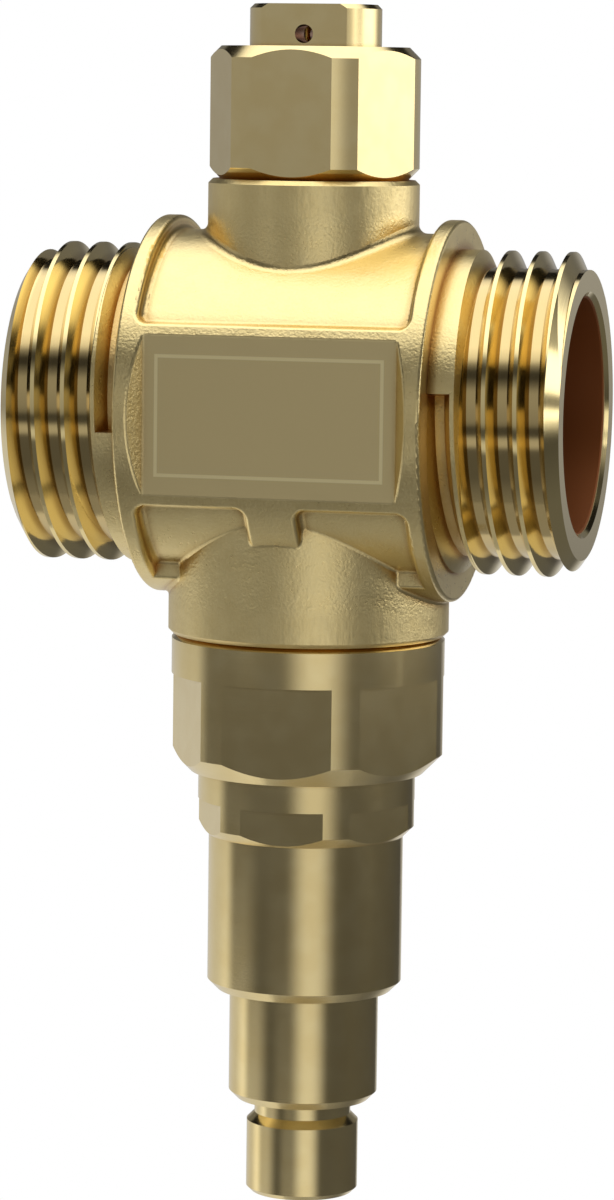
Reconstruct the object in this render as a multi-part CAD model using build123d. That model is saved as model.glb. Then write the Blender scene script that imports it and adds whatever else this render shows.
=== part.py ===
"""Anti-freeze drain valve for a one inch pipe, in millimetres.

The pipe runs along X and the stem stands along Z. The origin is where the two axes cross, +Z is up
and the front of the casting faces -Y. From the top down: the air inlet bonnet with its spring-loaded
plunger, the cast body with two threaded pipe ends, the cartridge holder, and the cartridge with its
wax thermostat, its drain shutter and the drain spout.
"""
import os
from math import radians, sqrt, tan

from build123d import *

# General
fit_gap = 0.05                 # radial clearance of screwed or pushed-in pieces
seal_gap = 0.02                # clearance left round a seal in its groove
seat_gap = 0.05                # springs stand this far off their seats
slide_gap = 0.06               # radial clearance of a sliding stem in its guide
seal_swell = 1.25              # height of a seal's groove over the seal's section
cut_over = 4.0                 # cutters reach this far past what they cut

# Waterway and cast body
half_length = 28.95            # from the stem axis to a pipe-end face
bore_r = 12.0                  # waterway
bore_mouth_r = 12.6            # chamfered mouth of the waterway
barrel_r = 18.15               # floor of the cast windows
skin_rise = 1.45               # collars, band and tab stand this far out from the barrel
collar_x = 15.85               # outer face of a collar
collar_width = 1.85
collar_lip_r = 0.4             # rounded rim of a collar
band_half = 9.2                # half height of the band across the front
tab_half = 2.65                # half width of the tab below the band
web_y = 9.05                   # webs between collars and lower boss reach this far forward
window_corner_r = 1.0
window_floor_r = 0.65          # fillet round the floor of a window
window_lip_r = 0.5             # rounded outer edge of a window
pad_depth = 1.7                # pad, cut flat into the band
pad_half_length = 13.1
pad_draft = 36.0               # slope of the pad's end walls, degrees
pad_lip_r = 0.35               # rounded outer edge of the pad's end walls

# Pipe thread
thread_r = 16.62               # crest radius of a G 1 pipe thread
thread_pitch = 3.175
thread_depth = 1.8
thread_root_flat = 0.95
thread_crest_flat = 0.42
thread_lead = 1.2              # axial length of the cone at the pipe end
thread_lead_drop = 1.75
thread_top_clear = 0.35        # the groove cutter stands this far above the crest
thread_overrun = 3.0           # the groove runs this far past the pipe end
right_groove_x = 16.8          # the groove begins this far from the stem axis
left_groove_x = 17.05
helix_start = 270.0            # angle about +X at which an unturned helix begins
groove_start = 170.0           # where the groove begins, from the rear over the top
left_end_turn = 177.0          # the left end is the right one turned round and rolled by this
pipe_end_root = 1.0            # a pipe end reaches this far inside its collar

# Bosses of the body
top_boss_r = 10.9
top_boss_z = 23.5
low_boss_r = 14.6
low_boss_z = -23.5
boss_chamfer = 0.45
top_boss_fillet = 1.0
low_boss_fillet = 0.4
bonnet_port_r = 8.2            # threaded hole in the top boss
holder_port_r = 11.0           # threaded hole in the lower boss

# Air inlet bonnet
bonnet_flats = 20.1            # across flats
bonnet_corner_r = 10.88
bonnet_height = 13.55
bonnet_bevel = 1.2             # 45 degree bevel over the corners
head_r = 6.78
head_flats = 10.2
head_height = 4.3
head_chamfer = 0.45
air_hole_r = 0.95              # cross hole through the head
air_hole_drop = 3.05           # below the top of the head
air_bore_r = 1.6
air_bore_over = 1.2            # the air bore runs this far above the cross hole
bonnet_spigot = 9.0            # length of the thread in the top boss
bonnet_chamber_r = 6.0
bonnet_chamber_depth = 14.5    # from the spigot's lower end to the sealing face
guide_seat_r = 6.5
guide_seat_depth = 3.2         # from the spigot's lower end to the guide's shoulder
bonnet_groove = 1.05           # depth of the seal groove on the spigot
bonnet_groove_below = 2.3      # from the shoulder to the bottom of the groove

# Air inlet inner pieces
plunger_travel = 1.8
plunger_r = 4.6
plunger_disc = 1.6
plunger_stand_off = 0.35       # disc below the sealing face when shut
plunger_stem_r = 1.5
plunger_stem_below = 1.5       # stem past the guide when shut
air_seal_r = 2.9               # mean radius of the plunger's seal ring
air_seal_wire = 0.7            # its section radius
guide_height = 1.8
guide_hole_r = 1.15
guide_hole_circle = 4.2
guide_holes = 6
clip_height = 0.8
clip_width = 0.9
clip_split = 1.6
air_spring_wire = 0.3
air_spring_r = 2.4
air_spring_turns = 4.5

# Cartridge holder
holder_r = 14.22
holder_height = 14.4
holder_flats = 26.0
holder_flats_drop = 4.2        # plain collar above the flats
holder_bevel = 2.0
holder_top_chamfer = 0.5
holder_spigot = 9.5
holder_passage_r = 8.0
cartridge_thread_r = 9.0
cartridge_thread_depth = 12.5
holder_groove = 1.3
holder_groove_above = 2.7      # from the shoulder to the top of the groove

# Cartridge body
collar_nut_r = 11.33
collar_nut_height = 6.7
collar_nut_flats = 20.9
collar_nut_flats_drop = 2.95
collar_nut_bevel = 1.05
sleeve_r = 10.17
sleeve_height = 16.4
sleeve_bevel = 1.0
chamber_r = 7.4
chamber_floor = 4.0            # thickness under the chamber
cartridge_spigot = 11.5
cartridge_groove = 0.9
cartridge_groove_above = 2.4

# Drain spout
spout_r = 7.8
spout_height = 11.7
spout_bevel = 0.85
spout_neck_r = 5.06
spout_neck = 1.6
spout_end_r = 5.86
spout_end = 8.4
spout_end_chamfer = 0.5
spout_bore_r = 3.6
spout_thread_r = 6.0
spout_nose_r = 5.0
spout_nose = 1.9               # above the chamber floor
seat_lip = 0.7
seat_lip_height = 0.5
spout_groove = 0.9
spout_groove_above = 2.3

# Thermostat and drain shutter
drain_travel = 2.5
shutter_flange_r = 7.0
shutter_flange = 1.4
shutter_hub_r = 5.2
shutter_hub = 2.4
shutter_stand_off = 0.2        # hub above the seat when shut
shutter_seal_r = 4.6
shutter_seal = 1.2
shutter_stem_r = 2.2
shutter_stem = 10.1
shutter_notches = 4
shutter_notch_r = 1.5
return_spring_wire = 0.4
return_spring_r = 6.2
return_spring_turns = 2.5
piston_r = 1.2
piston_length = 12.5
piston_room = 0.5              # bore left above the piston when it is fully in
capsule_head_r = 4.0
capsule_head = 11.2
capsule_crown = 0.8            # bevel of the capsule's head
capsule_flange_r = 5.6
capsule_flange = 1.4
capsule_neck_r = 2.9
capsule_neck = 7.4
carrier_r = 6.9
carrier_wall = 1.0
carrier_height = 13.6
carrier_floor = 1.3
carrier_rim_r = 7.8
carrier_rim = 1.2
carrier_sunk = 0.2             # top of the capsule flange below the rim's underside
carrier_windows = 4
carrier_window_width = 4.0
carrier_window_height = 5.5
carrier_hole_r = 0.9
carrier_holes = 6
stop_ring = 0.9
stop_ring_inner_r = 4.3
stop_ring_bite = 0.45          # depth of the ring's groove in the carrier
stop_ring_drop = 1.8           # from the carrier's top to the underside of the ring
overtravel_spring_wire = 0.45
overtravel_spring_turns = 4.0

# Sizes that follow from those above
skin_r = barrel_r + skin_rise
bonnet_shaft_r = bonnet_port_r - fit_gap
holder_shaft_r = holder_port_r - fit_gap
cartridge_shaft_r = cartridge_thread_r - fit_gap
spout_shaft_r = spout_thread_r - fit_gap
carrier_inner_r = carrier_r - carrier_wall
bonnet_groove_height = (bonnet_groove + fit_gap) * seal_swell
holder_groove_height = (holder_groove + fit_gap) * seal_swell
cartridge_groove_height = (cartridge_groove + fit_gap) * seal_swell
spout_groove_height = (spout_groove + fit_gap) * seal_swell

# Heights that follow from the sizes above
bonnet_top_z = top_boss_z + bonnet_height
head_top_z = bonnet_top_z + head_height
air_hole_z = head_top_z - air_hole_drop
bonnet_low_z = top_boss_z - bonnet_spigot
bonnet_groove_z = top_boss_z - bonnet_groove_below
air_seat_z = bonnet_low_z + bonnet_chamber_depth
guide_top_z = bonnet_low_z + guide_seat_depth
guide_low_z = guide_top_z - guide_height
plunger_top_z = air_seat_z - plunger_stand_off
plunger_low_z = plunger_top_z - plunger_disc
holder_low_z = low_boss_z - holder_height
holder_groove_z = low_boss_z + holder_groove_above - holder_groove_height
cartridge_groove_z = holder_low_z + cartridge_groove_above - cartridge_groove_height
cartridge_top_z = holder_low_z + cartridge_spigot
collar_nut_low_z = holder_low_z - collar_nut_height
sleeve_low_z = collar_nut_low_z - sleeve_height
spout_groove_z = sleeve_low_z + spout_groove_above - spout_groove_height
chamber_floor_z = sleeve_low_z + chamber_floor
seat_z = chamber_floor_z + spout_nose + seat_lip_height
hub_low_z = seat_z + shutter_stand_off
flange_low_z = hub_low_z + shutter_hub
flange_top_z = flange_low_z + shutter_flange
stem_top_z = flange_top_z + shutter_stem
piston_top_z = stem_top_z + piston_length
carrier_floor_z = cartridge_top_z - carrier_sunk
capsule_flange_z = carrier_floor_z + capsule_flange
capsule_top_z = capsule_flange_z + capsule_head
carrier_low_z = carrier_floor_z - carrier_floor
carrier_top_z = carrier_low_z + carrier_height
stop_ring_z = carrier_top_z - stop_ring_drop


def turned(points):
    """A turned solid about Z from its half section, given as (radius, height) points."""
    with BuildPart() as part:
        with BuildSketch(Plane.XZ):
            with BuildLine():
                Polyline(*points, close=True)
            make_face()
        revolve(axis=Axis.Z)
    return part.part


def rod(radius, z_low, z_high):
    """A plain upright cylinder between two heights."""
    return Pos(0, 0, z_low) * Cylinder(radius, z_high - z_low, align=(Align.CENTER, Align.CENTER, Align.MIN))


def along_x(radius, x_low, x_high):
    """A plain cylinder about the pipe axis between two stations."""
    bar = Cylinder(radius, x_high - x_low, align=(Align.CENTER, Align.CENTER, Align.MIN))
    return Pos(x_low, 0, 0) * (Rot(0, 90, 0) * bar)


def block(x, y, z):
    """A box from its (low, high) spans."""
    size = [high - low for low, high in (x, y, z)]
    return Pos(x[0], y[0], z[0]) * Box(*size, align=(Align.MIN, Align.MIN, Align.MIN))


def hexagon_bar(flats, z_low, z_high):
    """An upright hexagonal bar with a flat facing the front."""
    with BuildPart() as part:
        with BuildSketch(Plane.XY.offset(z_low)):
            RegularPolygon(flats / 2, 6, major_radius=False)
        extrude(amount=z_high - z_low)
    return part.part


def seal_in_groove(port_r, groove_depth, z_low, height):
    """A round-section seal ring between a port and the groove of the spigot inside it."""
    inner_r = port_r - fit_gap - groove_depth
    wire_r = (port_r - inner_r) / 2 - seal_gap
    return Pos(0, 0, z_low + height / 2) * Torus((port_r + inner_r) / 2, wire_r)


def seal_groove(shaft_r, groove_depth, z_low, height):
    """The cutter of a seal groove round a spigot."""
    return rod(shaft_r + cut_over, z_low, z_low + height) - rod(shaft_r - groove_depth, z_low, z_low + height)


def coil_spring(mean_r, wire_r, z_low, z_high, turns):
    """An upright compression spring between two seats."""
    height = z_high - z_low - 2 * (wire_r + seat_gap)
    path = Helix(pitch=height / turns, height=height, radius=mean_r)
    start = Plane(origin=path @ 0, z_dir=path % 0)
    wire = sweep(start * Circle(wire_r), path=path, is_frenet=True)
    return Pos(0, 0, z_low + wire_r + seat_gap) * wire


def hexagon_cut(flats, corner_r, z_low, z_high):
    """What a hexagonal bar leaves off a round collar between two heights."""
    return rod(corner_r + cut_over, z_low, z_high) - hexagon_bar(flats, z_low, z_high)


def ring_of(count, radius, cutter):
    """Copies of an upright cutter on a circle about the stem."""
    copies = [Rot(0, 0, 360 / count * step) * (Pos(radius, 0, 0) * cutter) for step in range(count)]
    return copies


def ring_clip(outer_r, inner_r, z_low, height, split):
    """A flat snap ring with a gap."""
    ring = rod(outer_r, z_low, z_low + height) - rod(inner_r, z_low, z_low + height)
    return ring - block((0, outer_r + cut_over), (-split / 2, split / 2), (z_low, z_low + height))


def thread_groove(start_x):
    """The helical groove of a pipe thread: a tapered section carried along a helix about X."""
    root_r = thread_r - thread_depth
    top_r = thread_r + thread_top_clear
    top_half = (thread_pitch - thread_crest_flat) / 2
    flank = (top_half - thread_root_flat / 2) / thread_depth
    over_half = top_half + flank * thread_top_clear
    length = half_length + thread_overrun - start_x
    path = Helix(pitch=thread_pitch, height=length, radius=root_r)
    section = Plane.XZ * make_face(
        Polyline(
            (root_r, -thread_root_flat / 2),
            (top_r, -over_half),
            (top_r, over_half),
            (root_r, thread_root_flat / 2),
            close=True,
        )
    )
    cutter = sweep(section, path=path, is_frenet=True)
    return Pos(start_x, 0, 0) * (Rot(groove_start - helix_start, 0, 0) * (Rot(0, 90, 0) * cutter))


def pipe_end(groove_x):
    """A threaded pipe end towards +X: a bored blank with a cone at its mouth, and its groove."""
    mouth = bore_mouth_r - bore_r
    root_x = collar_x - collar_width - pipe_end_root
    points = [
        (bore_r, root_x),
        (thread_r, root_x),
        (thread_r, half_length - thread_lead),
        (thread_r - thread_lead_drop, half_length),
        (bore_mouth_r, half_length),
        (bore_r, half_length - mouth),
    ]
    return Rot(0, 90, 0) * turned(points) - thread_groove(groove_x)


def window_cutter(x, y, z):
    """A ring-shaped cutter over the barrel, limited to a box, with rounded corners and floor edges."""
    ring = along_x(skin_r + cut_over, *x) - along_x(barrel_r, *x)
    cutter = ring & block(x, y, z)
    corners = cutter.edges().filter_by(Axis.Y)
    cutter = fillet(corners, window_corner_r)
    floor = cutter.faces().filter_by(GeomType.CYLINDER).filter_by(
        lambda face: abs(face.radius - barrel_r) < 0.01
    )
    return fillet(floor[0].edges(), window_floor_r)


def window_lips(body, inner_x):
    """The edges where the walls of the windows meet the outer skin."""
    lips = []
    for edge in body.edges():
        middle = edge.position_at(0.5)
        on_skin = abs(sqrt(middle.Y ** 2 + middle.Z ** 2) - skin_r) < 0.01
        on_seam = abs(middle.Y) < 0.01 and edge.geom_type == GeomType.LINE
        if on_skin and not on_seam and abs(middle.X) < inner_x + 0.01:
            lips.append(edge)
    return lips


def pad_lips(body):
    """The edges where the pads' floors and end walls meet the outer skin."""
    lips = []
    for edge in body.edges():
        middle = edge.position_at(0.5)
        on_skin = abs(sqrt(middle.Y ** 2 + middle.Z ** 2) - skin_r) < 0.01
        if on_skin and abs(middle.Y) > skin_r - pad_depth - 0.01:
            lips.append(edge)
    return lips


def boss_roots(body, boss_r):
    """The curved edges where an upright boss leaves the windows and the tab."""
    found = []
    for edge in body.edges():
        middle = edge.position_at(0.5)
        on_boss = abs(sqrt(middle.X ** 2 + middle.Y ** 2) - boss_r) < 0.01
        if on_boss and edge.geom_type not in (GeomType.LINE, GeomType.CIRCLE):
            found.append(edge)
    return found


def pad_cutter(facing):
    """The cutter of a pad: a flat floor with sloping end walls, on the front or the back."""
    floor_y = skin_r - pad_depth
    out_y = skin_r + cut_over
    spread = (out_y - floor_y) * tan(radians(pad_draft))
    outline = make_face(
        Polyline(
            (-pad_half_length, facing * floor_y),
            (pad_half_length, facing * floor_y),
            (pad_half_length + spread, facing * out_y),
            (-pad_half_length - spread, facing * out_y),
            close=True,
        )
    )
    return extrude(outline, amount=band_half, both=True)


def valve_body():
    """The cast body: barrel, collars, windows, band with its pad, bosses, pipe ends and bores."""
    reach = skin_r + cut_over
    inner_x = collar_x - collar_width
    skin = along_x(skin_r, -collar_x, collar_x)
    skin = fillet(skin.edges().filter_by(GeomType.CIRCLE), collar_lip_r)
    upper = window_cutter((-inner_x, inner_x), (-reach, reach), (band_half, reach))
    body = skin - upper
    for side in (-1, 1):
        for facing in (-1, 1):
            x = sorted((side * tab_half, side * inner_x))
            y = sorted((facing * web_y, facing * reach))
            body -= window_cutter(x, y, (-reach, -band_half))
    body = fillet(window_lips(body, inner_x), window_lip_r)
    top_boss = rod(top_boss_r, 0, top_boss_z)
    top_boss = chamfer(top_boss.edges().group_by(Axis.Z)[-1], boss_chamfer)
    low_boss = rod(low_boss_r, low_boss_z, 0)
    low_boss = chamfer(low_boss.edges().group_by(Axis.Z)[0], boss_chamfer)
    body += top_boss
    body = fillet(boss_roots(body, top_boss_r), top_boss_fillet)
    body += low_boss
    body = fillet(boss_roots(body, low_boss_r), low_boss_fillet)
    for facing in (-1, 1):
        body -= pad_cutter(facing)
    body = fillet(pad_lips(body), pad_lip_r)
    body -= along_x(bore_r, -collar_x, collar_x)
    body += pipe_end(right_groove_x)
    body += Rot(left_end_turn, 0, 0) * (Rot(0, 0, 180) * pipe_end(left_groove_x))
    body -= rod(bonnet_port_r, 0, top_boss_z)
    body -= rod(holder_port_r, low_boss_z, 0)
    return body


def air_inlet_bonnet():
    """The hexagonal bonnet: spigot, hexagon, two-flat head, air chamber and cross hole."""
    hexagon = turned(
        [
            (0, top_boss_z),
            (bonnet_corner_r - bonnet_bevel, top_boss_z),
            (bonnet_corner_r, top_boss_z + bonnet_bevel),
            (bonnet_corner_r, bonnet_top_z - bonnet_bevel),
            (bonnet_corner_r - bonnet_bevel, bonnet_top_z),
            (0, bonnet_top_z),
        ]
    )
    hexagon -= hexagon_cut(bonnet_flats, bonnet_corner_r, top_boss_z, bonnet_top_z)
    head = turned(
        [
            (0, bonnet_top_z),
            (head_r, bonnet_top_z),
            (head_r, head_top_z - head_chamfer),
            (head_r - head_chamfer, head_top_z),
            (0, head_top_z),
        ]
    )
    wide = (-head_r - cut_over, head_r + cut_over)
    head = head & block(wide, (-head_flats / 2, head_flats / 2), (bonnet_top_z, head_top_z))
    bonnet = hexagon + head + rod(bonnet_shaft_r, bonnet_low_z, top_boss_z)
    bonnet -= rod(guide_seat_r, bonnet_low_z, guide_top_z)
    bonnet -= rod(bonnet_chamber_r, guide_top_z, air_seat_z)
    bonnet -= rod(air_bore_r, air_seat_z, air_hole_z + air_bore_over)
    bonnet -= Pos(0, 0, air_hole_z) * (Rot(90, 0, 0) * Cylinder(air_hole_r, head_flats + cut_over))
    return bonnet - seal_groove(bonnet_shaft_r, bonnet_groove, bonnet_groove_z, bonnet_groove_height)


def air_plunger():
    """The air inlet plunger: a disc with a groove for its seal ring, and a stem through the guide."""
    stem_low_z = guide_low_z - plunger_stem_below
    plunger = rod(plunger_r, plunger_low_z, plunger_top_z) + rod(plunger_stem_r, stem_low_z, plunger_low_z)
    half = air_seal_wire + seal_gap
    groove_low_z = air_seat_z - 2 * air_seal_wire - 2 * seal_gap
    groove = rod(air_seal_r + half, groove_low_z, air_seat_z) - rod(air_seal_r - half, groove_low_z, air_seat_z)
    return plunger - groove


def air_guide():
    """The perforated disc that guides the plunger's stem and carries its spring."""
    guide = rod(guide_seat_r - fit_gap, guide_low_z, guide_top_z)
    guide -= rod(plunger_stem_r + slide_gap, guide_low_z, guide_top_z)
    for hole in ring_of(guide_holes, guide_hole_circle, rod(guide_hole_r, guide_low_z, guide_top_z)):
        guide -= hole
    return guide


def cartridge_holder():
    """The holder screwed into the lower boss: spigot, collar with six flats and the cartridge's thread."""
    holder = turned(
        [
            (0, holder_low_z),
            (holder_r - holder_bevel, holder_low_z),
            (holder_r, holder_low_z + holder_bevel),
            (holder_r, low_boss_z - holder_top_chamfer),
            (holder_r - holder_top_chamfer, low_boss_z),
            (holder_shaft_r, low_boss_z),
            (holder_shaft_r, low_boss_z + holder_spigot),
            (0, low_boss_z + holder_spigot),
        ]
    )
    holder -= hexagon_cut(holder_flats, holder_r, holder_low_z, low_boss_z - holder_flats_drop)
    holder -= rod(cartridge_thread_r, holder_low_z, holder_low_z + cartridge_thread_depth)
    holder -= rod(holder_passage_r, holder_low_z, low_boss_z + holder_spigot)
    return holder - seal_groove(holder_shaft_r, holder_groove, holder_groove_z, holder_groove_height)


def cartridge_body():
    """The cartridge body: threaded spigot, collar with six flats, sleeve and the chamber inside."""
    body = turned(
        [
            (0, sleeve_low_z),
            (sleeve_r - sleeve_bevel, sleeve_low_z),
            (sleeve_r, sleeve_low_z + sleeve_bevel),
            (sleeve_r, collar_nut_low_z),
            (collar_nut_r - collar_nut_bevel, collar_nut_low_z),
            (collar_nut_r, collar_nut_low_z + collar_nut_bevel),
            (collar_nut_r, holder_low_z),
            (cartridge_shaft_r, holder_low_z),
            (cartridge_shaft_r, cartridge_top_z),
            (0, cartridge_top_z),
        ]
    )
    flats_top_z = holder_low_z - collar_nut_flats_drop
    body -= hexagon_cut(collar_nut_flats, collar_nut_r, collar_nut_low_z, flats_top_z)
    body -= rod(chamber_r, chamber_floor_z, cartridge_top_z)
    body -= rod(spout_thread_r, sleeve_low_z, chamber_floor_z)
    return body - seal_groove(
        cartridge_shaft_r, cartridge_groove, cartridge_groove_z, cartridge_groove_height
    )


def drain_spout():
    """The spout: nose with the drain seat, thread, cylinder, neck and beaded end, bored through."""
    low_z = sleeve_low_z - spout_height
    end_z = low_z - spout_neck - spout_end
    cone = spout_end_r - spout_neck_r
    spout = turned(
        [
            (spout_bore_r, end_z),
            (spout_end_r - spout_end_chamfer, end_z),
            (spout_end_r, end_z + spout_end_chamfer),
            (spout_end_r, low_z - spout_neck - cone),
            (spout_neck_r, low_z - spout_neck),
            (spout_neck_r, low_z),
            (spout_r - spout_bevel, low_z),
            (spout_r, low_z + spout_bevel),
            (spout_r, sleeve_low_z),
            (spout_shaft_r, sleeve_low_z),
            (spout_shaft_r, chamber_floor_z),
            (spout_nose_r, chamber_floor_z),
            (spout_nose_r, seat_z - seat_lip_height),
            (spout_bore_r + seat_lip, seat_z - seat_lip_height),
            (spout_bore_r + seat_lip, seat_z),
            (spout_bore_r, seat_z),
        ]
    )
    return spout - seal_groove(spout_shaft_r, spout_groove, spout_groove_z, spout_groove_height)


def drain_shutter():
    """The shutter: hub with a recess for its seal, notched flange for the spring, and stem."""
    shutter = rod(shutter_hub_r, hub_low_z, flange_low_z)
    shutter += rod(shutter_flange_r, flange_low_z, flange_top_z)
    shutter += rod(shutter_stem_r, flange_top_z, stem_top_z)
    recess_top_z = seat_z + 2 * seal_gap + shutter_seal
    shutter -= rod(shutter_seal_r + seal_gap, hub_low_z, recess_top_z)
    notch = rod(shutter_notch_r, flange_low_z, flange_top_z)
    for cut in ring_of(shutter_notches, shutter_flange_r, notch):
        shutter -= cut
    return shutter


def thermostat_capsule():
    """The wax capsule: sealed head, flange and neck with the piston's bore."""
    neck_low_z = capsule_flange_z - capsule_flange - capsule_neck
    capsule = rod(capsule_head_r, capsule_flange_z, capsule_top_z)
    capsule = chamfer(capsule.edges().group_by(Axis.Z)[-1], capsule_crown)
    capsule += rod(capsule_flange_r, carrier_floor_z, capsule_flange_z)
    capsule += rod(capsule_neck_r, neck_low_z, carrier_floor_z)
    return capsule - rod(piston_r + slide_gap, neck_low_z, piston_top_z + drain_travel + piston_room)


def capsule_carrier():
    """The cage that holds the capsule in the water: tube with windows, rim, pierced floor and ring groove."""
    carrier = rod(carrier_r, carrier_low_z, carrier_top_z)
    carrier += rod(carrier_rim_r, cartridge_top_z, cartridge_top_z + carrier_rim)
    carrier -= rod(carrier_inner_r, carrier_floor_z, carrier_top_z)
    carrier -= rod(capsule_neck_r + fit_gap, carrier_low_z, carrier_floor_z)
    carrier -= rod(carrier_inner_r + stop_ring_bite, stop_ring_z, stop_ring_z + stop_ring)
    hole = rod(carrier_hole_r, carrier_low_z, carrier_floor_z)
    for cut in ring_of(carrier_holes, (capsule_neck_r + carrier_inner_r) / 2, hole):
        carrier -= cut
    window_low_z = cartridge_top_z + carrier_rim + carrier_floor
    half = carrier_window_width / 2
    window = block((-half, half), (-half, half), (window_low_z, window_low_z + carrier_window_height))
    for cut in ring_of(carrier_windows, carrier_r, window):
        carrier -= cut
    return carrier


def all_parts():
    """Every piece of the valve, by node name."""
    seal_low_z = seat_z + seal_gap
    return {
        "valve_body": valve_body(),
        "air_inlet_bonnet": air_inlet_bonnet(),
        "bonnet_seal": seal_in_groove(
            bonnet_port_r, bonnet_groove, bonnet_groove_z, bonnet_groove_height
        ),
        "air_plunger": air_plunger(),
        "air_plunger_seal": Pos(0, 0, air_seat_z - air_seal_wire - seal_gap)
        * Torus(air_seal_r, air_seal_wire),
        "air_guide": air_guide(),
        "air_guide_clip": ring_clip(
            guide_seat_r - fit_gap,
            guide_seat_r - fit_gap - clip_width,
            guide_low_z - clip_height,
            clip_height,
            clip_split,
        ),
        "air_spring": coil_spring(
            air_spring_r, air_spring_wire, guide_top_z, plunger_low_z, air_spring_turns
        ),
        "cartridge_holder": cartridge_holder(),
        "holder_seal": seal_in_groove(
            holder_port_r, holder_groove, holder_groove_z, holder_groove_height
        ),
        "cartridge_body": cartridge_body(),
        "cartridge_seal": seal_in_groove(
            cartridge_thread_r, cartridge_groove, cartridge_groove_z, cartridge_groove_height
        ),
        "drain_spout": drain_spout(),
        "spout_seal": seal_in_groove(
            spout_thread_r, spout_groove, spout_groove_z, spout_groove_height
        ),
        "drain_shutter": drain_shutter(),
        "shutter_seal": rod(shutter_seal_r, seal_low_z, seal_low_z + shutter_seal),
        "return_spring": coil_spring(
            return_spring_r,
            return_spring_wire,
            chamber_floor_z,
            flange_low_z,
            return_spring_turns,
        ),
        "thermostat_piston": rod(piston_r, stem_top_z, piston_top_z),
        "thermostat_capsule": thermostat_capsule(),
        "capsule_carrier": capsule_carrier(),
        "carrier_stop_ring": ring_clip(
            carrier_inner_r + stop_ring_bite - fit_gap,
            stop_ring_inner_r,
            stop_ring_z,
            stop_ring,
            clip_split,
        ),
        "overtravel_spring": coil_spring(
            (capsule_head_r + carrier_inner_r) / 2,
            overtravel_spring_wire,
            capsule_flange_z,
            stop_ring_z,
            overtravel_spring_turns,
        ),
    }


os.makedirs("parts", exist_ok=True)
for node, solid in all_parts().items():
    export_step(solid, f"parts/{node}.step")
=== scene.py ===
"""Finishes, studio and camera for a frost drain valve: a cast cross with an air inlet and a drain."""

import logging
import math
from dataclasses import dataclass, field
from enum import Enum
from typing import Any, Mapping, Sequence

import bmesh
import bpy
import numpy as np
from mathutils import Matrix, Vector

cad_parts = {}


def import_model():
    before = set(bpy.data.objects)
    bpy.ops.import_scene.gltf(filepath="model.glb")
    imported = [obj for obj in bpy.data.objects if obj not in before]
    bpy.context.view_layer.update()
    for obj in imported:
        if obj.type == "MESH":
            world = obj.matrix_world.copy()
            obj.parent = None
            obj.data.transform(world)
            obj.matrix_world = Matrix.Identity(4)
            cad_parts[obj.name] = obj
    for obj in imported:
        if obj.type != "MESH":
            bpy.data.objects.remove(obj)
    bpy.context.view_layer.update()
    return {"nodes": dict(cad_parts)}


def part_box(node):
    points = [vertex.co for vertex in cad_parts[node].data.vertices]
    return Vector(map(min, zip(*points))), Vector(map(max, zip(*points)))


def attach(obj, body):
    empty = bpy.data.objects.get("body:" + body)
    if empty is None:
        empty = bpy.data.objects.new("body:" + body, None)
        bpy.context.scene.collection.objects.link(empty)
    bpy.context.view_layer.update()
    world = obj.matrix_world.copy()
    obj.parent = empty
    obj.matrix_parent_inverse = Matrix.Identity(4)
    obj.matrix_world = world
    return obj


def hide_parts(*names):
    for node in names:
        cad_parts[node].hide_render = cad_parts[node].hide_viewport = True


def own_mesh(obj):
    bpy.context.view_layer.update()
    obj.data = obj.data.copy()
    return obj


log = logging.getLogger("frost_valve")

MM = 0.001
Colour = tuple[float, float, float]
Step = tuple[float, float]


# Shader arithmetic


class Ray(Enum):
    """The kinds of light path that the studio treats apart."""

    CAMERA = "Is Camera Ray"
    GLOSSY = "Is Glossy Ray"
    TRANSMISSION = "Is Transmission Ray"


@dataclass(frozen=True)
class Signal:
    """A node's output that takes part in Python arithmetic; each operator adds one Math node."""

    graph: "Graph"
    socket: bpy.types.NodeSocket

    def __add__(self, other: "Signal | float") -> "Signal":
        """Returns self + other."""
        return self.graph.math("ADD", self, other)

    __radd__ = __add__

    def __mul__(self, other: "Signal | float") -> "Signal":
        """Returns self * other."""
        return self.graph.math("MULTIPLY", self, other)

    __rmul__ = __mul__

    def __sub__(self, other: "Signal | float") -> "Signal":
        """Returns self - other."""
        return self.graph.math("SUBTRACT", self, other)

    def __rsub__(self, other: float) -> "Signal":
        """Returns other - self."""
        return self.graph.math("SUBTRACT", other, self)

    def __truediv__(self, other: "Signal | float") -> "Signal":
        """Returns self / other."""
        return self.graph.math("DIVIDE", self, other)

    def __abs__(self) -> "Signal":
        """Returns the size of self without its sign."""
        return self.graph.math("ABSOLUTE", self)

    def smooth(self, start: float, end: float) -> "Signal":
        """Makes a soft step.

        Args:
            start: The value at which the step leaves 0.
            end: The value at which it reaches 1, which may be the lower of the two.

        Returns:
            A value from 0 to 1.
        """
        return self.graph.out(
            "ShaderNodeMapRange",
            "Result",
            {"interpolation_type": "SMOOTHSTEP"},
            {"Value": self, "From Min": start, "From Max": end},
        )


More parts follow.
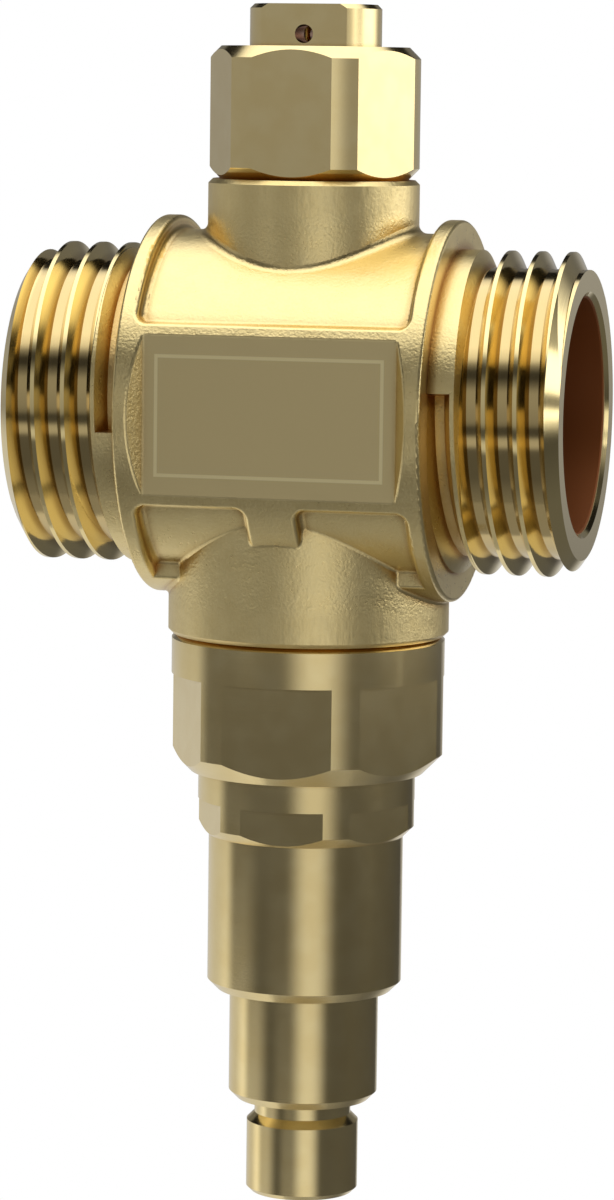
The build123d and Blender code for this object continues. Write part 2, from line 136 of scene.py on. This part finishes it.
class Graph:
    """The node tree of one material or world, where one method adds any node."""

    def __init__(self, tree: bpy.types.NodeTree) -> None:
        """Empties the tree.

        Args:
            tree: The tree to build in.
        """
        self.tree = tree
        tree.nodes.clear()

    def node(
        self,
        kind: str,
        settings: Mapping[str, Any] | None = None,
        inputs: Mapping[str | int, Any] | None = None,
    ) -> bpy.types.Node:
        """Adds a node, sets its settings and then fills or links its sockets.

        Args:
            kind: The node's type, as Blender names it.
            settings: Attributes by name; "stops" takes a ramp's (place, grey level) pairs.
            inputs: A value or a Signal for each socket, by name or by number.

        Returns:
            The new node.
        """
        made = self.tree.nodes.new(kind)
        for name, value in (settings or {}).items():
            if name == "stops":
                self._set_stops(made.color_ramp, value)
            else:
                setattr(made, name, value)
        for key, value in (inputs or {}).items():
            if isinstance(value, Signal):
                self.tree.links.new(value.socket, made.inputs[key])
            else:
                made.inputs[key].default_value = value
        return made

    @staticmethod
    def _set_stops(ramp: bpy.types.ColorRamp, stops: Sequence[tuple[float, float]]) -> None:
        """Gives a ramp grey stops at the places named.

        Args:
            ramp: The ramp to fill.
            stops: Pairs of place, from 0 to 1, and grey level.
        """
        while len(ramp.elements) < len(stops):
            ramp.elements.new(1.0)
        for element, (place, level) in zip(ramp.elements, stops):
            element.position = place
            element.color = (level, level, level, 1.0)

    def out(
        self,
        kind: str,
        output: str | int,
        settings: Mapping[str, Any] | None = None,
        inputs: Mapping[str | int, Any] | None = None,
    ) -> Signal:
        """Adds a node for the sake of one of its outputs.

        Args:
            kind: The node's type.
            output: The output's name or number.
            settings: As in node().
            inputs: As in node().

        Returns:
            The output, wrapped.
        """
        return Signal(self, self.node(kind, settings, inputs).outputs[output])

    def math(self, operation: str, *values: Signal | float) -> Signal:
        """Returns the result of one Math node on the values in order."""
        return self.out("ShaderNodeMath", 0, {"operation": operation}, dict(enumerate(values)))

    def parts(self, vector: Signal) -> tuple[Signal, ...]:
        """Returns the x, y and z of a vector."""
        split = self.node("ShaderNodeSeparateXYZ", None, {0: vector})
        return tuple(Signal(self, socket) for socket in split.outputs)

    def joined(self, x: Signal | float, y: Signal | float, z: Signal | float) -> Signal:
        """Returns a vector of three values."""
        return self.out("ShaderNodeCombineXYZ", 0, None, {0: x, 1: y, 2: z})

    def ray(self, kind: Ray) -> Signal:
        """Returns 1 for light paths of this kind and 0 for others."""
        return self.out("ShaderNodeLightPath", kind.value)

    def blend(self, share: Signal | float, low: Signal | Colour, high: Signal | Colour) -> Signal:
        """Mixes two colours through a Mix node.

        Args:
            share: 0 for low and 1 for high.
            low: The first colour.
            high: The second colour.

        Returns:
            The mixed colour.
        """
        first, second = (end if isinstance(end, Signal) else (*end, 1.0) for end in (low, high))
        return self.out("ShaderNodeMix", 2, {"data_type": "RGBA"}, {0: share, 6: first, 7: second})

    def shelter(self, reach: float) -> Signal:
        """Measures how sheltered a point is by the walls round it.

        Args:
            reach: How far round the point walls count, in metres.

        Returns:
            0 on open surfaces and near 1 deep in a groove.
        """
        return 1.0 - self.out(
            "ShaderNodeAmbientOcclusion",
            "AO",
            {"samples": 8, "only_local": False},
            {"Distance": reach},
        )

    def noise(self, size: float, where: Signal, detail: float = 2.0) -> Signal:
        """Makes soft noise over a vector.

        Args:
            size: The breadth of one blotch, in metres.
            where: The coordinates.
            detail: How many finer layers ride on the first.

        Returns:
            A value from 0 to 1.
        """
        return self.out(
            "ShaderNodeTexNoise",
            "Fac",
            {"noise_dimensions": "3D"},
            {"Vector": where, "Scale": 1.0 / size, "Detail": detail},
        )

    def relief(self, strength: float, depth: float, height: Signal) -> Signal:
        """Bends the surface's normal as if it had this relief.

        Args:
            strength: The share of the bend that is used.
            depth: The relief where the height is 1, in metres.
            height: The height over the surface.

        Returns:
            The bent normal.
        """
        return self.out(
            "ShaderNodeBump",
            "Normal",
            None,
            {"Strength": strength, "Distance": depth, "Height": height},
        )

    def principled(self, inputs: Mapping[str, Any]) -> Signal:
        """Returns a Principled shader with these sockets."""
        return self.out("ShaderNodeBsdfPrincipled", "BSDF", None, inputs)


class Place:
    """Object coordinates, with the radii and noises that the valve's finishes are made of."""

    def __init__(self, graph: Graph) -> None:
        """Adds the coordinate nodes.

        Args:
            graph: The material's graph.
        """
        self.graph = graph
        self.point = graph.out("ShaderNodeTexCoord", "Object")
        self.x, self.y, self.z = graph.parts(self.point)

    def radius(self, a: Signal, b: Signal) -> Signal:
        """Returns the distance from the axis that crosses the plane of a and b."""
        return self.graph.math("SQRT", a * a + b * b)

    def rings(self, along: Signal, size: float) -> Signal:
        """Makes noise that changes only along one direction, as a lathe tool leaves it.

        Args:
            along: The coordinate along the turning axis.
            size: The breadth of one ring.

        Returns:
            A value from 0 to 1.
        """
        return self.graph.noise(size, self.graph.joined(along, 0.0, 0.0), 3.0)

    def strokes(self, size: float, squeeze: float, detail: float) -> Signal:
        """Makes noise drawn out along the stem.

        Args:
            size: The breadth of one stroke.
            squeeze: The stroke's breadth over its length.
            detail: How many finer layers ride on the first.

        Returns:
            A value from 0 to 1.
        """
        where = self.graph.joined(self.x, self.y, self.z * squeeze)
        return self.graph.noise(size, where, detail)


# Finishes


@dataclass(frozen=True)
class Finish:
    """A surface finish, which makes one material and names its slot."""

    name: str

    def material(self) -> bpy.types.Material:
        """Makes the material.

        Returns:
            The finished material.
        """
        made = bpy.data.materials.new(self.name)
        made.use_nodes = True
        graph = Graph(made.node_tree)
        shader = self.shader(graph, Place(graph))
        graph.node("ShaderNodeOutputMaterial", None, {"Surface": shader})
        return made

    def shader(self, graph: Graph, place: Place) -> Signal:
        """Makes the surface shader; each finish has its own.

        Args:
            graph: The material's graph.
            place: Where on the object the surface is.

        Returns:
            The shader.
        """
        raise NotImplementedError


@dataclass(frozen=True)
class CastBrass(Finish):
    """Brass as cast, with machined threads, bore and ends, and a satin pad; shade is painted into its
    grooves, thread roots and bore.

    A Step holds the two places between which a zone fades in.
    """

    name: str = "cast_brass"

    tint: Colour = (0.86, 0.70, 0.345)
    grain_tint: Colour = (0.82, 0.65, 0.30)
    # Painted shade: the colour laid into grooves and inner corners by how sheltered they are.
    groove_shade_tint: Colour = (0.44, 0.25, 0.072)
    # Painted shade: the thread roots darkened in place of their dark reflections.
    root_shade_tint: Colour = (0.22, 0.135, 0.045)
    # Painted shade: the dim, reddened inside of the bore, darkened into its colour.
    bore_shade_tint: Colour = (0.27, 0.080, 0.014)
    pad_tint: Colour = (0.76, 0.62, 0.320)
    border_tint: Colour = (1.0, 0.86, 0.48)
    bore_metal: float = 0.50
    # How much of the painted root shade is laid on.
    root_shade_share: float = 0.30
    # How much of the painted groove shade stays on machined surfaces.
    machined_groove_shade_share: float = 0.3

    cast_roughness: float = 0.30
    machined_roughness: float = 0.11
    pad_roughness: float = 0.40
    bore_roughness: float = 0.55
    boss_dullness: float = 0.04
    border_polish: float = 0.04
    grain_swing: float = 0.10
    wave_swing: float = 0.08
    streak_swing: float = 0.16

    grain: float = 0.28 * MM
    wave: float = 2.4 * MM
    streak: float = 0.4 * MM
    streak_squeeze: float = 0.25
    tool_ring: float = 0.16 * MM
    relief_depth: float = 0.075 * MM
    relief_strength: float = 0.55
    grain_height: float = 0.8
    wave_height: float = 0.9
    streak_height: float = 0.45
    ring_height: float = 0.07
    boss_calm: float = 0.55
    pad_calm: float = 0.8

    thread_x: Step = (19.0 * MM, 19.1 * MM)
    root_x: Step = (27.6 * MM, 27.2 * MM)
    root_r: Step = (15.8 * MM, 15.0 * MM)
    bore_r: Step = (12.25 * MM, 12.1 * MM)
    boss_z: Step = (19.2 * MM, 20.7 * MM)
    pad_y: Step = (17.78 * MM, 17.88 * MM)
    pad_x: Step = (13.1 * MM, 12.8 * MM)
    border_y: Step = (-17.85 * MM, -17.89 * MM)
    border_half: tuple[float, float] = (11.65 * MM, 6.0 * MM)
    border_edge: Step = (0.217 * MM, 0.133 * MM)
    blotch: Step = (0.30, 0.70)
    # Where the painted groove shade fades in, and how far round walls count.
    groove_shade: Step = (0.06, 0.43)
    groove_shade_reach: float = 1.6 * MM

    def border(self, graph: Graph, place: Place) -> Signal:
        """Masks the thin rectangular line on the pad.

        The distance to the rectangle is the larger of |x| - half length and |z| - half height,
        and the line is where that distance is within half the line's width.

        Args:
            graph: The material's graph.
            place: Where on the object the surface is.

        Returns:
            1 on the line and 0 off it.
        """
        off_x = abs(place.x) - self.border_half[0]
        off_z = abs(place.z) - self.border_half[1]
        off = abs(graph.math("MAXIMUM", off_x, off_z))
        return off.smooth(*self.border_edge) * place.y.smooth(*self.border_y)

    def shader(self, graph: Graph, place: Place) -> Signal:
        """Makes brass whose grain fades out where the casting was machined.

        Args:
            graph: The material's graph.
            place: Where on the object the surface is.

        Returns:
            The shader.
        """
        pipe_r = place.radius(place.y, place.z)
        thread = abs(place.x).smooth(*self.thread_x)
        # Painted shade mask: the roots of the threads.
        root_shade = pipe_r.smooth(*self.root_r) * thread * abs(place.x).smooth(*self.root_x)
        bore = pipe_r.smooth(*self.bore_r)
        machined = graph.math("MAXIMUM", thread, bore)
        cast = 1.0 - machined
        boss = abs(place.z).smooth(*self.boss_z) * cast
        pad = abs(place.y).smooth(*self.pad_y) * abs(place.x).smooth(*self.pad_x)
        border = self.border(graph, place)
        # Painted shade: sheltered grooves and corners darkened and warmed, less on machined surfaces.
        groove_shade = graph.shelter(self.groove_shade_reach).smooth(*self.groove_shade)
        groove_shade = groove_shade * (1.0 - machined * (1.0 - self.machined_groove_shade_share))

        grain = graph.noise(self.grain, place.point, 3.0)
        wave = graph.noise(self.wave, place.point)
        streak = place.strokes(self.streak, self.streak_squeeze, 2.0)
        ring = place.rings(place.x, self.tool_ring)

        height = grain * (1.0 - boss * self.boss_calm) * self.grain_height
        height = (height + wave * self.wave_height) * (1.0 - pad * self.pad_calm) * cast
        height = height + streak * boss * self.streak_height + ring * machined * self.ring_height

        rough = self.cast_roughness + (grain - 0.5) * self.grain_swing
        rough = rough + (wave - 0.5) * self.wave_swing
        rough = rough + boss * (self.boss_dullness + (streak - 0.5) * self.streak_swing)
        rough = rough + pad * (self.pad_roughness - self.cast_roughness)
        rough = (rough - border * self.border_polish) * cast + machined * self.machined_roughness
        rough = rough + bore * (self.bore_roughness - self.machined_roughness)

        blotch = (grain * 0.5 + wave * 0.5).smooth(*self.blotch)
        colour = graph.blend(blotch, self.grain_tint, self.tint)
        for share, tint in (
            (pad, self.pad_tint),
            (border, self.border_tint),
            (machined, self.tint),
            # painted shade in grooves and corners
            (groove_shade, self.groove_shade_tint),
            # painted shade in the thread roots
            (root_shade * self.root_shade_share, self.root_shade_tint),
            # painted shade inside the bore
            (bore, self.bore_shade_tint),
        ):
            colour = graph.blend(share, colour, tint)
        return graph.principled(
            {
                "Base Color": colour,
                "Metallic": 1.0 - bore * (1.0 - self.bore_metal),
                "Roughness": rough,
                "Normal": graph.relief(self.relief_strength, self.relief_depth, height),
            }
        )


@dataclass(frozen=True)
class TurnedBrass(Finish):
    """Bar brass off the lathe: fine rings round the stem axis and a slow change of sheen."""

    name: str = "turned_brass"

    tint: Colour = (0.86, 0.70, 0.36)
    warm_tint: Colour = (0.83, 0.66, 0.32)
    # Painted shade for grooves, by how sheltered they are.
    groove_shade_tint: Colour = (0.52, 0.34, 0.110)
    # Painted shade for the inside of the head's cross hole.
    hole_shade_tint: Colour = (0.42, 0.17, 0.045)

    roughness: float = 0.16
    ring_swing: float = 0.08
    drift_swing: float = 0.02

    ring: float = 0.11 * MM
    drift: float = 3.0 * MM
    speck: float = 0.25 * MM
    speck_height: float = 0.6
    relief_depth: float = 0.004 * MM
    relief_strength: float = 0.35

    hole_z: float = 38.3 * MM
    hole_r: Step = (1.05 * MM, 0.97 * MM)
    head_y: Step = (5.08 * MM, 4.95 * MM)
    blotch: Step = (0.3, 0.7)
    # Where the painted groove shade fades in, and how far round walls count.
    groove_shade: Step = (0.15, 0.8)
    groove_shade_reach: float = 0.9 * MM

    def shader(self, graph: Graph, place: Place) -> Signal:
        """Makes brass with turning marks, with warm shade painted into its grooves and into the
        head's cross hole.

        Args:
            graph: The material's graph.
            place: Where on the object the surface is.

        Returns:
            The shader.
        """
        ring = place.rings(place.z, self.ring)
        drift = graph.noise(self.drift, place.point)
        speck = graph.noise(self.speck, place.point)
        # Painted shade mask: the inside of the head's cross hole.
        hole_shade = place.radius(place.x, place.z - self.hole_z).smooth(*self.hole_r)
        hole_shade = hole_shade * abs(place.y).smooth(*self.head_y)
        # Painted shade: sheltered grooves darkened and warmed.
        groove_shade = graph.shelter(self.groove_shade_reach).smooth(*self.groove_shade)

        colour = graph.blend(drift.smooth(*self.blotch), self.warm_tint, self.tint)
        colour = graph.blend(groove_shade, colour, self.groove_shade_tint)
        colour = graph.blend(hole_shade, colour, self.hole_shade_tint)
        rough = self.roughness + (ring - 0.5) * self.ring_swing
        height = ring + speck * self.speck_height
        return graph.principled(
            {
                "Base Color": colour,
                "Metallic": 1.0,
                "Roughness": rough + (drift - 0.5) * self.drift_swing,
                "Normal": graph.relief(self.relief_strength, self.relief_depth, height),
            }
        )


@dataclass(frozen=True)
class SealRubber(Finish):
    """Black moulded rubber with a dusty bloom."""

    name: str = "seal_rubber"

    tint: Colour = (0.018, 0.018, 0.020)
    bloom_tint: Colour = (0.050, 0.050, 0.052)
    roughness: float = 0.50
    dust_swing: float = 0.25
    dust: float = 0.8 * MM
    bloom: Step = (0.45, 0.75)
    pore: float = 0.12 * MM
    relief_depth: float = 0.01 * MM
    relief_strength: float = 0.4

    def shader(self, graph: Graph, place: Place) -> Signal:
        """Makes dark rubber whose sheen changes in soft patches.

        Args:
            graph: The material's graph.
            place: Where on the object the surface is.

        Returns:
            The shader.
        """
        dust = graph.noise(self.dust, place.point, 4.0)
        pores = graph.noise(self.pore, place.point)
        return graph.principled(
            {
                "Base Color": graph.blend(dust.smooth(*self.bloom), self.tint, self.bloom_tint),
                "Roughness": self.roughness + dust * self.dust_swing,
                "Normal": graph.relief(self.relief_strength, self.relief_depth, pores),
            }
        )


@dataclass(frozen=True)
class MouldedPlastic(Finish):
    """Off-white acetal with the faint flow marks of moulding."""

    name: str = "moulded_plastic"

    tint: Colour = (0.76, 0.75, 0.70)
    flow_tint: Colour = (0.66, 0.65, 0.60)
    roughness: float = 0.34
    mark_swing: float = 0.16
    mark: float = 1.2 * MM
    mark_squeeze: float = 0.3
    flow: Step = (0.3, 0.7)
    skin: float = 0.15 * MM
    relief_depth: float = 0.008 * MM
    relief_strength: float = 0.3

    def shader(self, graph: Graph, place: Place) -> Signal:
        """Makes pale plastic.

        Args:
            graph: The material's graph.
            place: Where on the object the surface is.

        Returns:
            The shader.
        """
        marks = place.strokes(self.mark, self.mark_squeeze, 3.0)
        skin = graph.noise(self.skin, place.point)
        return graph.principled(
            {
                "Base Color": graph.blend(marks.smooth(*self.flow), self.flow_tint, self.tint),
                "Roughness": self.roughness + marks * self.mark_swing,
                "Normal": graph.relief(self.relief_strength, self.relief_depth, skin),
            }
        )


@dataclass(frozen=True)
class DrawnMetal(Finish):
    """Drawn or pressed metal with fine lengthwise marks, in any tint."""

    name: str = "spring_steel"

    tint: Colour = (0.56, 0.57, 0.58)
    shade_tint: Colour = (0.44, 0.45, 0.47)
    roughness: float = 0.26
    mark_swing: float = 0.14
    mark: float = 0.12 * MM
    mark_squeeze: float = 0.2
    patch: float = 1.5 * MM
    shade: Step = (0.3, 0.7)
    relief_depth: float = 0.005 * MM
    relief_strength: float = 0.3

    def shader(self, graph: Graph, place: Place) -> Signal:
        """Makes bright metal with drawing marks.

        Args:
            graph: The material's graph.
            place: Where on the object the surface is.

        Returns:
            The shader.
        """
        marks = place.strokes(self.mark, self.mark_squeeze, 3.0)
        patch = graph.noise(self.patch, place.point)
        return graph.principled(
            {
                "Base Color": graph.blend(patch.smooth(*self.shade), self.shade_tint, self.tint),
                "Metallic": 1.0,
                "Roughness": self.roughness + (marks - 0.5) * self.mark_swing,
                "Normal": graph.relief(self.relief_strength, self.relief_depth, marks),
            }
        )


@dataclass(frozen=True)
class PaleFloor(Finish):
    """Pale matt board, nearly white to the camera and fully white towards its rim."""

    name: str = "pale_floor"

    tint: Colour = (0.40, 0.40, 0.395)
    white_share: float = 0.9
    floor_r: float = 0.35
    rim: Step = (0.5, 0.97)

    def shader(self, graph: Graph, place: Place) -> Signal:
        """Makes the board, whose lit part keeps the object's shadow.

        Args:
            graph: The material's graph.
            place: Where on the floor the surface is.

        Returns:
            The shader.
        """
        lit = graph.out("ShaderNodeBsdfDiffuse", 0, None, {"Color": (*self.tint, 1.0)})
        white = graph.out("ShaderNodeEmission", 0, None, {"Strength": 1.0})
        rim_start, rim_end = (share * self.floor_r for share in self.rim)
        rim = place.radius(place.x, place.y).smooth(rim_start, rim_end)
        share = graph.ray(Ray.CAMERA) * (self.white_share + rim * (1.0 - self.white_share))
        return graph.out("ShaderNodeMixShader", 0, None, {0: share, 1: lit, 2: white})


# Sub-assemblies


def put_in_scene(name: str, data: bpy.types.ID) -> bpy.types.Object:
    """Makes an object at the origin and links it to the scene.

    Args:
        name: The object's name.
        data: Its mesh or camera.

    Returns:
        The object.
    """
    made = bpy.data.objects.new(name, data)
    bpy.context.scene.collection.objects.link(made)
    return made


@dataclass
class Dresser:
    """Gives pieces their materials, one material for each finish."""

    nodes: Mapping[str, bpy.types.Object]
    made: dict[Finish, bpy.types.Material] = field(default_factory=dict)

    def coat(self, piece: bpy.types.Object, finish: Finish) -> None:
        """Puts a finish on a piece and reports it.

        Args:
            piece: The object.
            finish: What it is finished with.
        """
        if finish not in self.made:
            self.made[finish] = finish.material()
        piece.data.materials.clear()
        piece.data.materials.append(self.made[finish])
        log.info("%s: %s, %d faces", piece.name, finish.name, len(piece.data.polygons))

    def dress(self, finish: Finish, *nodes: str) -> None:
        """Puts a finish on CAD nodes."""
        for node in nodes:
            self.coat(self.nodes[node], finish)


@dataclass(frozen=True)
class CompressedSpring:
    """A coil spring, made from a welded copy of its CAD node and put in that node's place."""

    node: str
    body: str
    joint: str
    travel: float
    seat_z: float
    finish: Finish
    weld: float = 0.0001 * MM

    def build(self, dresser: Dresser) -> None:
        """Copies the node's coils, welds the copy, dresses it and hangs it on the body in the node's
        place.

        Args:
            dresser: What puts finishes on pieces.
        """
        mesh = dresser.nodes[self.node].data.copy()
        shell = bmesh.new()
        shell.from_mesh(mesh)
        bmesh.ops.remove_doubles(shell, verts=shell.verts, dist=self.weld)
        shell.to_mesh(mesh)
        shell.free()
        coils = put_in_scene(f"{self.node}_coils", mesh)
        dresser.coat(coils, self.finish)
        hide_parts(self.node)
        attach(coils, self.body)
        low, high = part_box(self.node)
        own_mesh(coils)


@dataclass
class CastCross:
    """The cast body with its threaded pipe ends, collars, pads and bosses."""

    brass: Finish = CastBrass()

    def build(self, dresser: Dresser) -> None:
        """Dresses the body."""
        dresser.dress(self.brass, "valve_body")


@dataclass
class AirInlet:
    """The bonnet on top, with the plunger that lets air in when the pipe drains."""

    brass: Finish = TurnedBrass()
    rubber: Finish = SealRubber()
    plastic: Finish = MouldedPlastic()
    steel: Finish = DrawnMetal()
    spring: CompressedSpring = CompressedSpring(
        node="air_spring",
        body="valve",
        joint="air_slide",
        travel=1.8 * MM,
        seat_z=17.7 * MM,
        finish=DrawnMetal(),
    )

    def build(self, dresser: Dresser) -> None:
        """Dresses the bonnet and what is in it, and builds the spring.

        Args:
            dresser: What puts finishes on pieces.
        """
        dresser.dress(self.brass, "air_inlet_bonnet")
        dresser.dress(self.rubber, "bonnet_seal", "air_plunger_seal")
        dresser.dress(self.plastic, "air_plunger", "air_guide")
        dresser.dress(self.steel, "air_guide_clip")
        self.spring.build(dresser)


@dataclass
class DrainCartridge:
    """The holder, sleeve, spout and thermostat that hang below the body."""

    brass: Finish = TurnedBrass()
    rubber: Finish = SealRubber()
    steel: Finish = DrawnMetal()
    copper: Finish = DrawnMetal(
        name="copper_alloy",
        tint=(0.80, 0.50, 0.34),
        shade_tint=(0.62, 0.36, 0.24),
        roughness=0.30,
    )

    def build(self, dresser: Dresser) -> None:
        """Dresses the cartridge from the holder down.

        Args:
            dresser: What puts finishes on pieces.
        """
        dresser.dress(self.brass, "cartridge_holder", "cartridge_body", "drain_spout")
        dresser.dress(self.brass, "drain_shutter", "capsule_carrier")
        dresser.dress(self.rubber, "holder_seal", "cartridge_seal", "spout_seal", "shutter_seal")
        dresser.dress(self.steel, "return_spring", "overtravel_spring")
        dresser.dress(self.steel, "carrier_stop_ring", "thermostat_piston")
        dresser.dress(self.copper, "thermostat_capsule")


# Studio


@dataclass(frozen=True)
class SoftPanel:
    """A glow in the studio room, or a dark flag where its strength is below 0.

    All angles are in degrees: headings run from the camera's own towards the right, and heights
    from the horizon up.
    """

    heading: float
    half_width: float
    low: float
    high: float
    strength: float
    softness: float = 12.0
    edge: float = 4.0

    def glow(self, graph: Graph, heading: Signal, height: Signal) -> Signal:
        """Makes the panel's brightness.

        It is a soft step on the angle from the panel's heading, times soft steps on height.

        Args:
            graph: The world's graph.
            heading: The ray's heading in radians, 0 towards the camera.
            height: The ray's height above the horizon in radians.

        Returns:
            The brightness that the panel adds.
        """
        middle, half, soft = map(math.radians, (self.heading, self.half_width, self.softness))
        low, high, edge = map(math.radians, (self.low, self.high, self.edge))
        apart = graph.math("ARCCOSINE", graph.math("COSINE", heading - middle))
        side = apart.smooth(half + soft, half - soft)
        rise = height.smooth(low - edge, low + edge)
        fall = height.smooth(high + edge, high - edge)
        return side * rise * fall * self.strength


@dataclass
class Room:
    """The light: white to the camera, and to all else brightness by height, with soft panels.

    Each of the levels is a height above the horizon in degrees and the brightness there.
    """

    levels: tuple[tuple[float, float], ...] = (
        (-90, 0.28),
        (-72, 0.28),
        (-60, 0.21),
        (-48, 0.13),
        (-26, 0.13),
        (-8, 0.065),
        (-5, 0.27),
        (-2, 0.34),
        (2, 0.36),
        (12, 0.42),
        (20, 0.42),
        (26, 0.18),
        (31, 0.05),
        (36, 0.06),
        (41, 0.34),
        (46, 1.20),
        (55, 1.70),
        (90, 1.70),
    )
    panels: tuple[SoftPanel, ...] = (
        SoftPanel(8, 18, -60, 7, 0.56, 14, 3.0),
        SoftPanel(97, 30, -2.6, 16.5, 1.75, 14, 1.2),
        SoftPanel(83, 7, 0.8, 5.5, -2.20, 5, 1.0),
        SoftPanel(83, 3, -5.2, -2.6, 0.80, 3, 0.8),
        SoftPanel(-6, 38, -23, -15, 0.50, 10, 2.5),
        SoftPanel(-52, 9, -4, 6, 0.42, 9, 2.0),
        SoftPanel(-56, 15, 9, 34, -2.50, 5, 2.0),
        SoftPanel(28, 38, 9, 42, -2.00, 7, 2.0),
        SoftPanel(-92, 26, -50, -11.5, 0.50, 14, 1.2),
        SoftPanel(180, 62, 6, 40, -0.26, 16),
    )
    backdrop: SoftPanel = SoftPanel(-150, 50, -70, -6, 0.56, 9, 2.5)
    brightest: float = 2.0
    darkest: float = 0.01

    def build(self, azimuth: float) -> None:
        """Makes the world.

        The share of the way from straight down to straight up finds the level on a ramp, which
        holds brightness over the brightest. Mirrors and glass see the backdrop as well.

        Args:
            azimuth: The camera's turn about the stem in radians.
        """
        world = bpy.data.worlds.new("studio_room")
        bpy.context.scene.world = world
        world.use_nodes = True
        graph = Graph(world.node_tree)
        x, y, z = graph.parts(graph.out("ShaderNodeTexCoord", "Generated"))
        to_right = x * math.cos(azimuth) + y * math.sin(azimuth)
        to_camera = x * math.sin(azimuth) - y * math.cos(azimuth)
        heading = graph.math("ARCTAN2", to_right, to_camera)
        height = graph.math("ARCSINE", z)

        stops = [(angle / 180 + 0.5, level / self.brightest) for angle, level in self.levels]
        share = height / math.pi + 0.5
        glow = graph.out("ShaderNodeValToRGB", "Color", {"stops": stops}, {"Fac": share})
        glow = glow * self.brightest
        for panel in self.panels:
            glow = glow + panel.glow(graph, heading, height)
        mirrored = graph.math("MAXIMUM", graph.ray(Ray.GLOSSY), graph.ray(Ray.TRANSMISSION))
        glow = glow + mirrored * self.backdrop.glow(graph, heading, height)

        seen = graph.ray(Ray.CAMERA)
        strength = seen + (1.0 - seen) * graph.math("MAXIMUM", glow, self.darkest)
        white = {"Color": (1.0, 1.0, 1.0, 1.0), "Strength": strength}
        shown = graph.out("ShaderNodeBackground", 0, None, white)
        graph.node("ShaderNodeOutputWorld", None, {"Surface": shown})


@dataclass
class Studio:
    """A pale floor, a soft room of light and the camera where the photograph was taken."""

    azimuth: float = 14.1835
    pitch: float = 6.7924
    roll: float = 0.7124
    camera_mm: tuple[float, float, float] = (114.914, -459.831, 34.114)
    focal_px: float = 4583.08
    principal_px: tuple[float, float] = (296.476, 621.03)
    picture_px: tuple[int, int] = (614, 1200)
    sensor: float = 36.0
    clip: tuple[float, float] = (0.01, 10.0)
    board: PaleFloor = PaleFloor()
    floor_z: float = -0.90
    floor_hub: float = 0.02
    floor_rings: int = 5
    floor_spokes: int = 96

    def build_camera(self) -> None:
        """Makes the camera from its heading, pitch, roll, focal length and principal point."""
        az, pitch, roll = map(math.radians, (self.azimuth, self.pitch, self.roll))
        level = Vector((-math.sin(az), math.cos(az), 0.0))
        ahead = level * math.cos(pitch) - Vector((0.0, 0.0, math.sin(pitch)))
        right = Vector((math.cos(az), math.sin(az), 0.0))
        up = right.cross(ahead)
        rolled_right = right * math.cos(roll) + up * math.sin(roll)
        rolled_up = up * math.cos(roll) - right * math.sin(roll)
        data = bpy.data.cameras.new("camera")
        width, height = self.picture_px
        data.sensor_width = self.sensor
        data.sensor_fit = "AUTO"
        data.lens = self.focal_px * self.sensor / height
        data.shift_x = (width / 2 - self.principal_px[0]) / height
        data.shift_y = (self.principal_px[1] - height / 2) / height
        data.clip_start, data.clip_end = self.clip
        camera = put_in_scene("camera", data)
        turn = Matrix((rolled_right, rolled_up, -ahead)).transposed().to_4x4()
        camera.matrix_world = Matrix.Translation(Vector(self.camera_mm) * MM) @ turn
        bpy.context.scene.camera = camera

    def build_floor(self) -> None:
        """Makes a round floor: a disc of rings and spokes, each point at (r cos a, r sin a)."""
        radii, angles = np.meshgrid(
            np.linspace(self.floor_hub, 1.0, self.floor_rings) * self.board.floor_r,
            np.linspace(0, 2 * np.pi, self.floor_spokes, endpoint=False),
        )
        heights = np.full_like(radii, self.floor_z)
        points = np.stack([radii * np.cos(angles), radii * np.sin(angles), heights], -1)
        spokes, rings = radii.shape
        i, j = np.meshgrid(np.arange(spokes), np.arange(rings - 1), indexing="ij")
        a, b = i * rings + j, ((i + 1) % spokes) * rings + j
        quads = np.stack([a, a + 1, b + 1, b], -1).reshape(-1, 4)
        hub = list(range(0, spokes * rings, rings))
        mesh = bpy.data.meshes.new("floor")
        mesh.from_pydata(points.reshape(-1, 3).tolist(), [], [*quads.tolist(), hub])
        mesh.materials.append(self.board.material())
        put_in_scene("floor", mesh)

    def build(self) -> None:
        """Builds the camera, the room and the floor."""
        self.build_camera()
        Room().build(math.radians(self.azimuth))
        self.build_floor()
        bpy.context.scene.view_settings.view_transform = "Standard"


def main() -> None:
    """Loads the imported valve, dresses it and sets up the studio."""
    logging.basicConfig(level=logging.INFO, format="%(name)s: %(message)s")
    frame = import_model()
    dresser = Dresser(frame["nodes"])
    for part in (CastCross(), AirInlet(), DrainCartridge()):
        part.build(dresser)
    Studio().build()


if __name__ == "__main__":
    main()
